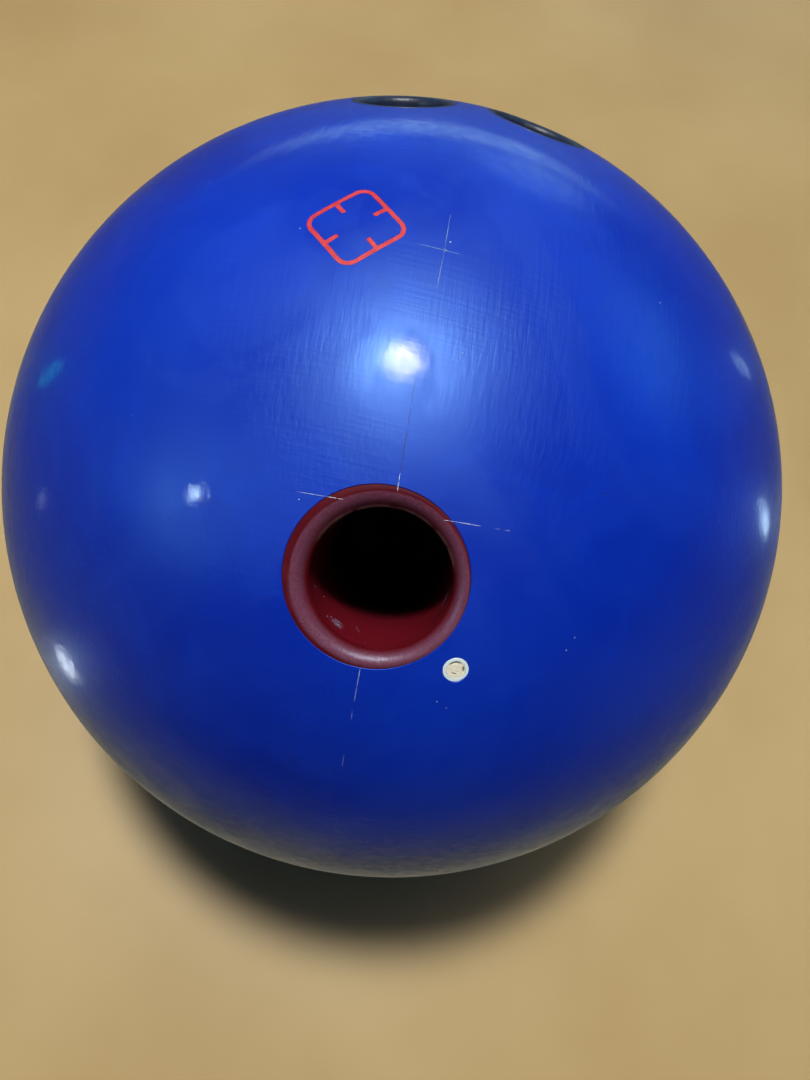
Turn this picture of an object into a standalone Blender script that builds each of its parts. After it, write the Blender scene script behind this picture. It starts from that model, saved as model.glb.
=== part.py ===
"""A drilled ten-pin bowling ball, as the separate pieces it is cast and fitted from.

The frame: the origin is the ball's centre and +Z points up through the grip centre, which is the
middle of the span between thumb and fingers. The thumb hole lies towards -Y, the two finger holes
towards +Y, and the ring finger's hole is the one towards +X, so the grip is a right hand's.
All lengths are in metres.
"""

import math

import bmesh
import bpy
from mathutils import Matrix, Vector

INCH = 0.0254

# Ball
BALL_DIAMETER = 8.55 * INCH
BALL_RADIUS = BALL_DIAMETER / 2
COVER_THICKNESS = 0.020
GAP = 0.0003  # left between faceted pieces that touch
SMALL_GAP = 0.00015  # the same for the smallest pieces

# Grip: each hole is placed by its distance along the surface from the grip centre, and sideways
THUMB_ARC = 0.0632
MIDDLE_ARC = 0.0630
RING_ARC = 0.0660
MIDDLE_SIDE = -0.0166
RING_SIDE = 0.0154

# Thumb slug, and the bore that the driller cuts in it
SLUG_DIAMETER = 1.3125 * INCH
SLUG_LENGTH = 3.0 * INCH
THUMB_BORE_DIAMETER = 1.03125 * INCH
THUMB_BORE_DEPTH = 0.068
THUMB_BORE_SHIFT = 0.0006  # the bore is drilled this far off the slug's centre, towards +X
THUMB_ROUNDING = 0.00295
THUMB_REVERSE_PITCH = 0.375 * INCH  # how far the bore's line passes the ball's centre
THUMB_LATERAL_PITCH = 0.09375 * INCH
THUMB_TIP = 0.0030

# Finger inserts, glued in the wide tops of stepped holes
INSERT_DIAMETER = 0.96875 * INCH
INSERT_LENGTH = 1.0 * INCH
INSERT_BORE_DIAMETER = 0.796875 * INCH
INSERT_ROUNDING = 0.0016
FINGER_HOLE_DEPTH = 1.5 * INCH
FINGER_LATERAL_PITCH = 0.125 * INCH  # away from the other finger
FINGER_TIP = 0.0030

# Locator pin over the weight block, and the small pin that marks the mass bias
LOCATOR_DIAMETER = 0.375 * INCH
LOCATOR_AZIMUTH = math.radians(25.0)  # from +Y towards +X
BIAS_DIAMETER = 0.1875 * INCH
BIAS_PLUG_DIAMETER = 0.0035
BIAS_LENGTH = 0.012
BIAS_SIDE = 0.0178
BIAS_ARC = 0.0777

# Weight block, in its own frame: +Z to the locator pin and +X to the mass bias pin
BULB_RADIUS = 0.046
BULB_CENTRE = -0.014
BULB_TOP = 0.024
BULB_BOTTOM = -0.050
CAP_TOP = 0.062
CAP_RADIUS = 0.030
CAP_FOOT_RADIUS = 0.026
CAP_SHOULDER = 0.040
CAP_ROUNDING = 0.008
FLIP_RADIUS = 0.021
FLIP_INNER = 0.0363
FLIP_OUTER = 0.054
FLIP_ROUNDING = 0.003

# Coloured mark: a diamond outline with a short tick inside each side, let into the cover
MARK_SIDE_OFFSET = -0.0173
MARK_ARC = 0.0027
MARK_SIZE = 0.0152  # length of the diamond's side
MARK_LINE = 0.0009
MARK_CORNER = 0.0030
MARK_TICK = 0.0026
MARK_DEPTH = 0.0009

# Facets
BALL_SEGMENTS = 48
CORE_SEGMENTS = 24
TURNED_STEPS = 24
PIN_STEPS = 16
ARC_STEPS = 4
CORNER_STEPS = 4
SHARP_ANGLE = math.radians(30)
OUTSIDE = 0.012  # how far a cutter or an uncut blank stands out of the ball


# ---------------------------------------------------------------- scene and materials


def clear_scene():
    for obj in list(bpy.data.objects):
        bpy.data.objects.remove(obj)


def new_collection(name):
    collection = bpy.data.collections.new(name)
    bpy.context.scene.collection.children.link(collection)
    return collection


def make_material(name, colour, roughness, metallic=0.0):
    material = bpy.data.materials.new(name)
    material.use_nodes = True
    shader = material.node_tree.nodes["Principled BSDF"]
    shader.inputs["Base Color"].default_value = (*colour, 1.0)
    shader.inputs["Roughness"].default_value = roughness
    shader.inputs["Metallic"].default_value = metallic
    return material


clear_scene()
BALL = new_collection("bowling_ball")
CUTTERS = new_collection("cutters")


# ---------------------------------------------------------------- places and directions


def surface_direction(side, arc):
    """Unit vector to the surface point `side` towards +X and `arc` along the surface towards +Y."""
    across = math.asin(side / BALL_RADIUS)
    along = arc / BALL_RADIUS
    return Vector(
        (
            math.sin(across),
            math.cos(across) * math.sin(along),
            math.cos(across) * math.cos(along),
        )
    )


def frame_at(point, outward, towards=Vector((1.0, 0.0, 0.0))):
    """Matrix at point with its +Z along outward and its +X as near `towards` as that allows."""
    z = outward.normalized()
    x = (towards - towards.dot(z) * z).normalized()
    y = z.cross(x)
    turn = Matrix((x, y, z)).transposed().to_4x4()
    return Matrix.Translation(point) @ turn


def radial_frame(direction, towards=Vector((1.0, 0.0, 0.0))):
    """Frame on the ball's surface, pointing straight out."""
    return frame_at(direction * BALL_RADIUS, direction, towards)


def pitched_frame(direction, reverse, lateral):
    """Frame on the surface whose line passes the ball's centre by the two pitches.

    Reverse pitch carries the hole's bottom away from the fingers, lateral pitch towards +X.
    """
    straight = radial_frame(direction)
    side, up = straight.col[0].to_3d(), straight.col[1].to_3d()
    aim = lateral * side - reverse * up
    return frame_at(direction * BALL_RADIUS, direction * BALL_RADIUS - aim)


def perpendicular_elevation(azimuth, other):
    """Elevation at which a direction at this azimuth is square to `other`."""
    level = Vector((math.sin(azimuth), math.cos(azimuth), 0.0))
    return math.atan2(-level.dot(other), other.z)


THUMB = surface_direction(0.0, -THUMB_ARC)
MIDDLE = surface_direction(MIDDLE_SIDE, MIDDLE_ARC)
RING = surface_direction(RING_SIDE, RING_ARC)
BIAS = surface_direction(BIAS_SIDE, -BIAS_ARC)
MARK = surface_direction(MARK_SIDE_OFFSET, MARK_ARC)
LOCATOR_ELEVATION = perpendicular_elevation(LOCATOR_AZIMUTH, BIAS)
LOCATOR = Vector(
    (
        math.sin(LOCATOR_AZIMUTH) * math.cos(LOCATOR_ELEVATION),
        math.cos(LOCATOR_AZIMUTH) * math.cos(LOCATOR_ELEVATION),
        math.sin(LOCATOR_ELEVATION),
    )
)

THUMB_FRAME = pitched_frame(THUMB, THUMB_REVERSE_PITCH, THUMB_LATERAL_PITCH)
MIDDLE_FRAME = pitched_frame(MIDDLE, 0.0, -FINGER_LATERAL_PITCH)
RING_FRAME = pitched_frame(RING, 0.0, FINGER_LATERAL_PITCH)
BIAS_FRAME = radial_frame(BIAS)
MARK_FRAME = radial_frame(MARK) @ Matrix.Rotation(math.radians(45), 4, "Z")
LOCATOR_FRAME = radial_frame(LOCATOR, BIAS)
CORE_FRAME = frame_at(Vector((0.0, 0.0, 0.0)), LOCATOR, BIAS)


# ---------------------------------------------------------------- modelling helpers


def finish_object(obj, name, collection, matrix, material):
    obj.name = name
    obj.data.name = name
    for old in list(obj.users_collection):
        old.objects.unlink(obj)
    collection.objects.link(obj)
    obj.matrix_world = matrix
    if collection is CUTTERS:
        obj.hide_render = True
        obj.display_type = "WIRE"
    if material is not None:
        obj.data.materials.append(material)
    return obj


def sphere(name, radius, segments, collection, material=None):
    """Sphere with a point on each axis, so that its box is its true diameter."""
    bpy.ops.mesh.primitive_uv_sphere_add(
        segments=segments, ring_count=segments // 2, radius=radius
    )
    obj = finish_object(
        bpy.context.object, name, collection, Matrix.Identity(4), material
    )
    obj.data.shade_smooth()
    return obj


def turned(name, outline, matrix, collection, material=None, steps=TURNED_STEPS):
    """Solid of revolution about local Z. The outline runs down the outer side, axis to axis."""
    mesh = bpy.data.meshes.new(name)
    points = [(radius, 0.0, height) for radius, height in outline]
    mesh.from_pydata(points, [(i, i + 1) for i in range(len(points) - 1)], [])
    obj = finish_object(
        bpy.data.objects.new(name, mesh), name, collection, matrix, material
    )
    screw = obj.modifiers.new("turn", "SCREW")
    screw.steps = steps
    screw.render_steps = steps
    screw.use_merge_vertices = True
    screw.merge_threshold = 0.00001
    return obj


def boolean(obj, operation, other):
    modifier = obj.modifiers.new(f"{operation.lower()}_{other.name}", "BOOLEAN")
    modifier.operation = operation
    modifier.solver = "EXACT"
    modifier.object = other


def cut(obj, *cutters):
    for cutter in cutters:
        boolean(obj, "DIFFERENCE", cutter)


def keep_inside(obj, other):
    boolean(obj, "INTERSECT", other)


def arc(centre, radius, start, end, steps):
    """Points (radius, height) on an arc, angles in degrees, both ends included."""
    found = []
    for i in range(steps + 1):
        angle = math.radians(start + (end - start) * i / steps)
        found.append(
            (centre[0] + radius * math.cos(angle), centre[1] + radius * math.sin(angle))
        )
    return found


def drill(name, matrix, radius, depth, tip=0.0, shift=0.0, steps=TURNED_STEPS):
    """Cutter of a drilled hole: its mouth stands out of the ball and its floor is a shallow cone."""
    outline = [(0.0, OUTSIDE), (radius, OUTSIDE), (radius, -depth), (0.0, -depth - tip)]
    place = matrix @ Matrix.Translation((shift, 0.0, 0.0))
    return turned(name, outline, place, CUTTERS, steps=steps)


def stepped_drill(name, matrix, radius, step, narrow, depth, tip):
    """Cutter of a hole that narrows at `step` below the surface and goes on down to `depth`."""
    outline = [
        (0.0, OUTSIDE),
        (radius, OUTSIDE),
        (radius, -step),
        (narrow, -step),
        (narrow, -depth),
        (0.0, -depth - tip),
    ]
    return turned(name, outline, matrix, CUTTERS)


def plug(name, matrix, radius, length, material, steps=TURNED_STEPS):
    """Round rod that fills a hole from its length below the surface up to the ball's surface."""
    outline = [(0.0, OUTSIDE), (radius, OUTSIDE), (radius, -length), (0.0, -length)]
    rod = turned(name, outline, matrix, BALL, material, steps)
    keep_inside(rod, BLANK)
    return rod


def surface_drop(radius):
    """How far the ball's surface lies below its tangent plane at this distance from the point."""
    return BALL_RADIUS - math.sqrt(BALL_RADIUS**2 - radius**2)


def mouth_cutter(name, matrix, radius, rounding, depth):
    """Cutter of a straight bore whose mouth flares to the ball's surface with this rounding."""
    lip = radius + rounding
    lip_height = -surface_drop(lip)
    nose = arc((lip, lip_height - rounding), rounding, 90, 180, ARC_STEPS)
    outline = [(0.0, OUTSIDE), (lip, OUTSIDE), *nose, (radius, -depth), (0.0, -depth)]
    return turned(name, outline, matrix, CUTTERS)


def rounded_disc(radius, bottom, top, rounding):
    """Outline of a turned disc whose top edge is rounded."""
    corner = arc((radius - rounding, top - rounding), rounding, 90, 0, ARC_STEPS)
    return [(0.0, top), *corner, (radius, bottom), (0.0, bottom)]


# ---------------------------------------------------------------- weight block outlines


def bulb_side(grow):
    """Side of the bulb, from its top plane to its bottom one, as a stretch of a circle."""
    radius = BULB_RADIUS + grow
    start = math.degrees(math.asin((BULB_TOP - BULB_CENTRE) / radius))
    end = math.degrees(math.asin((BULB_BOTTOM - grow - BULB_CENTRE) / radius))
    return arc((0.0, BULB_CENTRE), radius, start, end, 3 * ARC_STEPS)


def cap_side(grow):
    """Side of the cap, from its rounded top down to its foot."""
    corner = arc(
        (CAP_RADIUS - CAP_ROUNDING, CAP_TOP - CAP_ROUNDING),
        CAP_ROUNDING + grow,
        90,
        0,
        ARC_STEPS,
    )
    return [*corner, (CAP_RADIUS + grow, CAP_SHOULDER)]


def bulb_outline():
    return [(0.0, BULB_TOP), *bulb_side(0.0), (0.0, BULB_BOTTOM)]


def cap_outline():
    foot = BULB_TOP + GAP
    return [(0.0, CAP_TOP), *cap_side(0.0), (CAP_FOOT_RADIUS, foot), (0.0, foot)]


def cavity_outline():
    """Outline of the hollow that holds bulb and cap, GAP larger all round."""
    top = CAP_TOP + GAP
    bottom = BULB_BOTTOM - GAP
    return [
        (0.0, top),
        *cap_side(GAP),
        (CAP_FOOT_RADIUS + 2 * GAP, BULB_TOP),
        *bulb_side(GAP)[1:],
        (0.0, bottom),
    ]


def flip_frame(sign):
    """Frame on the weight block's side axis, pointing out to one flip block."""
    outward = CORE_FRAME.col[1].to_3d() * sign
    return frame_at(CORE_FRAME @ Vector((0.0, 0.0, BULB_CENTRE)), outward)


def flip_outline(grow):
    return rounded_disc(
        FLIP_RADIUS + grow, FLIP_INNER - grow, FLIP_OUTER + grow, FLIP_ROUNDING + grow
    )


# ---------------------------------------------------------------- coloured mark


def rounded_square(size, corner):
    """Corners of a square outline, each rounded by an arc."""
    half = size / 2
    found = []
    for quarter in range(4):
        turn = math.radians(90 * quarter)
        for x, y in arc((half - corner, half - corner), corner, 0, 90, CORNER_STEPS):
            found.append(
                (
                    x * math.cos(turn) - y * math.sin(turn),
                    x * math.sin(turn) + y * math.cos(turn),
                )
            )
    return found


def ticked_square(size, corner, line, tick):
    """A rounded square with a tick standing inwards from the middle of each side."""
    half = size / 2
    found = []
    for quarter in range(4):
        turn = math.radians(90 * quarter)
        side = [
            (half, -line / 2),
            (half - tick, -line / 2),
            (half - tick, line / 2),
            (half, line / 2),
            *arc((half - corner, half - corner), corner, 0, 90, CORNER_STEPS),
        ]
        for x, y in side:
            found.append(
                (
                    x * math.cos(turn) - y * math.sin(turn),
                    x * math.sin(turn) + y * math.cos(turn),
                )
            )
    return found


def mark_solid(name, grow, above, below, collection, material=None):
    """The mark's outline as a solid that follows the ball, from above its surface to below it."""
    size = MARK_SIZE + 2 * grow
    line = MARK_LINE + 2 * grow
    outer = rounded_square(size, MARK_CORNER + grow)
    inner = ticked_square(
        size - 2 * line, MARK_CORNER - MARK_LINE - grow, line, MARK_TICK
    )
    curve = bpy.data.curves.new(name, "CURVE")
    curve.dimensions = "2D"
    curve.fill_mode = "BOTH"
    curve.extrude = MARK_LINE / 2
    for ring in (outer, inner):
        spline = curve.splines.new("POLY")
        spline.points.add(len(ring) - 1)
        for point, (x, y) in zip(spline.points, ring):
            point.co = (x, y, 0.0, 1.0)
        spline.use_cyclic_u = True
    drawn = bpy.data.objects.new(name, curve)
    bpy.context.scene.collection.objects.link(drawn)
    solid = mesh_from_curve(drawn)
    for vertex in solid.data.vertices:
        level = above if vertex.co.z > 0 else -below
        vertex.co.z = level - surface_drop(math.hypot(vertex.co.x, vertex.co.y))
    return finish_object(solid, name, collection, MARK_FRAME, material)


def mesh_from_curve(drawn):
    """A mesh object with the curve's shape, its caps welded on. The curve is removed."""
    graph = bpy.context.evaluated_depsgraph_get()
    mesh = bpy.data.meshes.new_from_object(drawn.evaluated_get(graph))
    bm = bmesh.new()
    bm.from_mesh(mesh)
    bmesh.ops.remove_doubles(bm, verts=bm.verts, dist=0.00001)
    bm.to_mesh(mesh)
    bm.free()
    solid = bpy.data.objects.new(drawn.name, mesh)
    bpy.data.objects.remove(drawn)
    return solid


def apply_modifiers():
    """Give every piece its final mesh, smooth except across its real edges."""
    graph = bpy.context.evaluated_depsgraph_get()
    made = {
        obj: bpy.data.meshes.new_from_object(obj.evaluated_get(graph))
        for obj in BALL.objects
    }
    for obj, mesh in made.items():
        obj.modifiers.clear()
        obj.data = mesh
        mesh.name = obj.name
        mesh.shade_smooth()
        mesh.set_sharp_from_angle(angle=SHARP_ANGLE)


# ---------------------------------------------------------------- finishes

COVER = make_material("polished_blue_coverstock", (0.008, 0.007, 0.125), 0.12)
FILLER = make_material("cast_filler", (0.34, 0.33, 0.30), 0.75)
CORE = make_material("dense_core_resin", (0.42, 0.10, 0.045), 0.6)
FLIP = make_material("heavy_flip_block", (0.05, 0.05, 0.055), 0.6)
PIN = make_material("pin_resin", (0.75, 0.62, 0.30), 0.4)
SLEEVE = make_material("white_pin_resin", (0.80, 0.78, 0.72), 0.35)
BIAS_PLUG = make_material("cream_pin_resin", (0.66, 0.58, 0.40), 0.45)
SLUG = make_material("maroon_thumb_slug", (0.13, 0.006, 0.010), 0.35)
INSERT = make_material("navy_vinyl_insert", (0.010, 0.012, 0.030), 0.45)
MARKING = make_material("red_marking_fill", (0.72, 0.05, 0.06), 0.4)


# ---------------------------------------------------------------- cutters

BLANK = sphere("ball_blank", BALL_RADIUS, BALL_SEGMENTS, CUTTERS)
COVER_HOLLOW = sphere(
    "cover_hollow", BALL_RADIUS - COVER_THICKNESS, CORE_SEGMENTS, CUTTERS
)
THUMB_HOLE = drill(
    "thumb_hole", THUMB_FRAME, SLUG_DIAMETER / 2 + GAP, SLUG_LENGTH + GAP, THUMB_TIP
)
MIDDLE_HOLE, RING_HOLE = (
    stepped_drill(
        name,
        frame,
        INSERT_DIAMETER / 2 + GAP,
        INSERT_LENGTH + GAP,
        INSERT_BORE_DIAMETER / 2,
        FINGER_HOLE_DEPTH,
        FINGER_TIP,
    )
    for name, frame in (
        ("middle_finger_hole", MIDDLE_FRAME),
        ("ring_finger_hole", RING_FRAME),
    )
)
LOCATOR_HOLE = drill(
    "locator_hole",
    LOCATOR_FRAME,
    LOCATOR_DIAMETER / 2 + GAP,
    BALL_RADIUS - CAP_TOP,
    steps=PIN_STEPS,
)
BIAS_HOLE = drill(
    "bias_hole",
    BIAS_FRAME,
    BIAS_DIAMETER / 2 + SMALL_GAP,
    BIAS_LENGTH + GAP,
    steps=PIN_STEPS,
)
FLIP_POCKETS = [
    turned(f"flip_pocket_{side}", flip_outline(GAP), flip_frame(sign), CUTTERS)
    for side, sign in (("left", -1), ("right", 1))
]
DRILLED = (THUMB_HOLE, MIDDLE_HOLE, RING_HOLE)


# ---------------------------------------------------------------- pieces


def make_coverstock():
    """Outer shell, open only at the drilled holes and the pins."""
    cover = sphere("coverstock", BALL_RADIUS, BALL_SEGMENTS, BALL, COVER)
    pocket = mark_solid(
        "mark_pocket", SMALL_GAP, OUTSIDE, MARK_DEPTH + SMALL_GAP, CUTTERS
    )
    cut(cover, COVER_HOLLOW, *DRILLED, LOCATOR_HOLE, BIAS_HOLE, pocket)


def make_filler_core():
    """Light inner sphere, cast round the weight block."""
    radius = BALL_RADIUS - COVER_THICKNESS - GAP
    filler = sphere("filler_core", radius, CORE_SEGMENTS, BALL, FILLER)
    cavity = turned("weight_block_cavity", cavity_outline(), CORE_FRAME, CUTTERS)
    cut(filler, cavity, *FLIP_POCKETS, *DRILLED, LOCATOR_HOLE)


def make_weight_block():
    """Bulb, the cap on it, and a flip block let into each side of the bulb."""
    bulb = turned("weight_block_bulb", bulb_outline(), CORE_FRAME, BALL, CORE)
    cut(bulb, *FLIP_POCKETS, *DRILLED)
    cap = turned("weight_block_cap", cap_outline(), CORE_FRAME, BALL, CORE)
    cut(cap, *DRILLED)
    for side, sign in (("left", -1), ("right", 1)):
        turned(f"flip_block_{side}", flip_outline(0.0), flip_frame(sign), BALL, FLIP)


def make_pins():
    """Locator pin on the weight block's cap, and the two-piece pin that marks the mass bias."""
    length = BALL_RADIUS - CAP_TOP - GAP
    plug("locator_pin", LOCATOR_FRAME, LOCATOR_DIAMETER / 2, length, PIN, PIN_STEPS)
    sleeve = plug(
        "mass_bias_pin_sleeve",
        BIAS_FRAME,
        BIAS_DIAMETER / 2,
        BIAS_LENGTH,
        SLEEVE,
        PIN_STEPS,
    )
    radius = BIAS_PLUG_DIAMETER / 2
    bore = drill(
        "bias_sleeve_bore",
        BIAS_FRAME,
        radius + SMALL_GAP,
        BIAS_LENGTH + OUTSIDE,
        steps=PIN_STEPS,
    )
    cut(sleeve, bore)
    plug("mass_bias_pin_plug", BIAS_FRAME, radius, BIAS_LENGTH, BIAS_PLUG, PIN_STEPS)


def make_thumb_slug():
    """Solid slug glued in the ball, with the thumb bore drilled in it and its mouth rounded."""
    slug = plug("thumb_slug", THUMB_FRAME, SLUG_DIAMETER / 2, SLUG_LENGTH, SLUG)
    radius = THUMB_BORE_DIAMETER / 2
    bore = drill(
        "thumb_bore",
        THUMB_FRAME,
        radius,
        THUMB_BORE_DEPTH,
        THUMB_TIP,
        THUMB_BORE_SHIFT,
    )
    place = radial_frame(THUMB) @ Matrix.Translation((THUMB_BORE_SHIFT, 0.0, 0.0))
    mouth = mouth_cutter(
        "thumb_mouth", place, radius + GAP, THUMB_ROUNDING, 2 * THUMB_ROUNDING
    )
    cut(slug, bore, mouth)


def make_finger_insert(name, frame):
    """Soft tube, open at both ends, glued in the top of a finger hole."""
    insert = plug(name, frame, INSERT_DIAMETER / 2, INSERT_LENGTH, INSERT)
    radius = INSERT_BORE_DIAMETER / 2
    depth = INSERT_LENGTH + OUTSIDE
    cut(insert, mouth_cutter(f"{name}_bore", frame, radius, INSERT_ROUNDING, depth))


def make_mark_inlay():
    """Coloured resin in the mark's groove, flush with the ball's surface."""
    mark_solid("mark_inlay", 0.0, 0.0, MARK_DEPTH, BALL, MARKING)


make_coverstock()
make_filler_core()
make_weight_block()
make_pins()
make_thumb_slug()
make_finger_insert("middle_finger_insert", MIDDLE_FRAME)
make_finger_insert("ring_finger_insert", RING_FRAME)
make_mark_inlay()
apply_modifiers()
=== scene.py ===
"""The looks of a drilled ten-pin bowling ball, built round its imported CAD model.

The frame is the part's own: the origin is the ball's centre, +Z points up through the grip centre,
the thumb hole lies towards -Y and the finger holes towards +Y. Lengths are in metres.
"""

import math
import random

import bmesh
import bpy
import numpy as np
from mathutils import Matrix, Vector


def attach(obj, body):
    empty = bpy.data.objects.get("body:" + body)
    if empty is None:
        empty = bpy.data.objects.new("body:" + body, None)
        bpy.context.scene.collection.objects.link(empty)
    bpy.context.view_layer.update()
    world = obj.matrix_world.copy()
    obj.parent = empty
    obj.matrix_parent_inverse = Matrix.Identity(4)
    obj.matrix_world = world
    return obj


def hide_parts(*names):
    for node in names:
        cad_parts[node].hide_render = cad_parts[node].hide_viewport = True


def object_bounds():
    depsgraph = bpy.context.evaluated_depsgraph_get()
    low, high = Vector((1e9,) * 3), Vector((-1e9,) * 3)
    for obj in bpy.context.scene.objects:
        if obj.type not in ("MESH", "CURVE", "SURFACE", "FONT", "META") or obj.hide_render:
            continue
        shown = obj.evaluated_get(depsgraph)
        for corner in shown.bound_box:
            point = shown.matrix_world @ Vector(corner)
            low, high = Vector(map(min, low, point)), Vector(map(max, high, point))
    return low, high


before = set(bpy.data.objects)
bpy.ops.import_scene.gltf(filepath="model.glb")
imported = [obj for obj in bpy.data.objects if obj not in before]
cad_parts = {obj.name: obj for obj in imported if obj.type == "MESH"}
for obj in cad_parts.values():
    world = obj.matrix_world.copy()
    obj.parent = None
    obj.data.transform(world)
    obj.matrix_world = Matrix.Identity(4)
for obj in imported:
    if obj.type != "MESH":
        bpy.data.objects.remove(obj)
CAD_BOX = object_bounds()

INCH = 0.0254
MM = 0.001

# The ball, from the frame
BALL_RADIUS = (CAD_BOX[1].x - CAD_BOX[0].x) / 2
COVER_THICKNESS = 0.020
FLOOR_LEVEL = CAD_BOX[0].z
SURFACE_REACH = 0.04 * MM  # points this near the ball's radius are on its surface
FACING_OUT = 0.9  # cosine of the most that a face on the surface leans

# Grip: places of the holes on the surface, and how their lines pass the ball's centre
THUMB_ARC = 0.0632
MIDDLE_ARC = 0.0630
RING_ARC = 0.0660
MIDDLE_SIDE = -0.0166
RING_SIDE = 0.0154
THUMB_REVERSE_PITCH = 0.375 * INCH
THUMB_LATERAL_PITCH = 0.09375 * INCH
FINGER_LATERAL_PITCH = 0.125 * INCH

# Seams are a hair wide, narrower than the CAD's gaps
SEAM = 0.05 * MM
EDGE_BREAK = 0.12 * MM  # tiny chamfer on the cover's hole edges
OUTSIDE = 4 * MM  # how far a hole's cutter stands out of the ball
PIN_EDGE = 0.04 * MM  # the same on the pins

# Thumb slug
SLUG_RADIUS = 16.92 * MM
SLUG_LENGTH = 3.0 * INCH
BORE_RADIUS = 13.15 * MM
BORE_DEPTH = 0.068
BORE_TIP = 0.003
BORE_CORNER = 1.0 * MM  # rounding between the bore's wall and its floor
BORE_CENTRE = (0.8 * MM, -0.2 * MM)
LIP_RADIUS = 16.30 * MM
LIP_CENTRE = (0.58 * MM, 0.06 * MM)
LIP_DEPTH = 3.1 * MM
LIP_BEND = 1.25  # 1 would round the lip as an ellipse does
SANDED_RADIUS = 16.32 * MM  # outside this circle the slug stays glossy
SANDED_CENTRE = (0.62 * MM, -0.38 * MM)
SANDED_DEPTHS = (2.1 * MM, 0.6 * MM)  # sanding sets in at the first and is full at the second
WEAR_AND_HIGHLIGHT_TOP = (1.7 * MM, 2.1 * MM)  # the same for the pale line on the bore's edge, partly wear and partly a painted highlight, from above
WEAR_AND_HIGHLIGHT_FOOT = (3.6 * MM, 3.2 * MM)  # and from below

# Finger inserts
INSERT_RADIUS = 12.30 * MM
INSERT_LENGTH = 1.0 * INCH
INSERT_BORE_RADIUS = 10.12 * MM
INSERT_LIP_RADIUS = 11.85 * MM
INSERT_LIP_DEPTH = 1.7 * MM
FINGER_HOLE_DEPTH = 1.5 * INCH
FINGER_TIP = 0.003

# Pins
LOCATOR_RADIUS = 0.375 * INCH / 2
LOCATOR_AZIMUTH = math.radians(25.0)
CAP_TOP = 0.062
BIAS_SIDE = 0.0178
BIAS_ARC = 0.0777
BIAS_RADIUS = 2.42 * MM
BIAS_PLUG_RADIUS = 1.74 * MM
BIAS_LENGTH = 0.012
PLUG_RINGS = 24
PLUG_DROP = 0.02 * MM  # its face lies this far below the ball's surface
PLUG_CHIP = 0.18 * MM
# Each dark smear on the plug, partly dirt and partly painted shade: degrees round it, half its arc, its
# radius and half its width
PLUG_DIRT_AND_SHADE = (
    (104.0, 58.0, 1.56 * MM, 0.26 * MM),
    (14.0, 24.0, 1.42 * MM, 0.24 * MM),
    (258.0, 34.0, 0.86 * MM, 0.15 * MM),
    (322.0, 12.0, 0.62 * MM, 0.12 * MM),
)

# Coloured mark
MARK_SIDE_OFFSET = -0.0173
MARK_ARC = 0.0027
MARK_SIZE = 0.0152
MARK_LINE = 0.0009
MARK_CORNER = 0.0030
MARK_TICK = 0.0026
MARK_DEPTH = 0.9 * MM
MARK_SEAM = 0.03 * MM
MARK_TOP = 0.008 * MM  # the mark stands this far out of the ball

# Layout lines: thin strips that stand this far out of the ball, and reach this far into it
SCRIBE_TOP = 0.010 * MM
SCRIBE_FOOT = 0.06 * MM
SCRIBE_STEP = 0.8 * MM
LIP_HALVINGS = 24  # how often the search for a place on the lip halves its interval

# Scrape on the wall of the thumb's bore: its middle, as degrees round the bore and mm down it
SCRAPE_TURN = 240.0
SCRAPE_DEPTH = 10.3
SCRAPE_COUNT = 16
SCRAPE_STEPS = 6
SCRAPE_THICKNESS = 0.012 * MM
# Each nick: degrees round the bore, mm down it, degrees long, mm it sinks along them, and mm wide
NICKS = [
    (258.0, 16.2, 5.5, -5.0, 0.13),
    (257.0, 17.0, 2.0, -2.0, 0.10),
    (350.0, 13.9, 17.0, 0.7, 0.16),
    (202.8, 10.7, 1.4, -0.6, 0.30),
    (216.6, 16.6, 1.4, 0.9, 0.34),
    (229.7, 8.8, 1.5, 0.2, 0.26),
    (268.0, 7.6, 1.2, -0.8, 0.22),
]

# Floor, backdrop and the dark card in front of the ball
BACKDROP = (0.62, 0.60, 0.57, 1.0)
FLOOR_FADE = (0.6, 2.4)  # distances from the ball
FLOOR_SIZE = 14.0
FLOOR_TONES = ((0.50, 0.345, 0.145), (0.57, 0.41, 0.185))
FLAG_SIZE = (0.56, 1.0)
FLAG_PLACE = (0.06, -0.30, FLOOR_LEVEL + 0.52)

# Camera: above the thumb's side, looking steeply down, and rolled a little about its line of sight
CAMERA_PLACE = (0.00046, -0.10737, 0.22660)
CAMERA_FORWARD = (0.02209, 0.38265, -0.92363)
CAMERA_RIGHT = (0.97852, 0.18112, 0.09844)
CAMERA_LENS = 27.03  # mm, on a sensor 36 mm wide

# Fineness of the meshes
CORNER_STEPS = 12
MARK_STEP = 0.35 * MM
BALL_SEGMENTS = 256
HOLE_SEGMENTS = 192
PIN_SEGMENTS = 96
LIP_STEPS = 20
BORE_STEPS = 12
BORE_CORNER_STEPS = 5
INSERT_STEPS = 8
POLE = 0.02  # the ring round a closed end's middle has this share of the end's radius


# ---------------------------------------------------------------- places and directions


def surface_direction(side, arc):
    """Unit vector to the surface point `side` towards +X and `arc` along the surface towards +Y."""
    across = math.asin(side / BALL_RADIUS)
    along = arc / BALL_RADIUS
    return Vector(
        (
            math.sin(across),
            math.cos(across) * math.sin(along),
            math.cos(across) * math.cos(along),
        )
    )


def frame_at(point, outward):
    """Matrix at point with its +Z along outward and its +X as near the world's as that allows."""
    world_x = Vector((1.0, 0.0, 0.0))
    z = outward.normalized()
    x = (world_x - world_x.dot(z) * z).normalized()
    turn = Matrix((x, z.cross(x), z)).transposed().to_4x4()
    return Matrix.Translation(point) @ turn


def radial_frame(direction):
    return frame_at(direction * BALL_RADIUS, direction)


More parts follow.
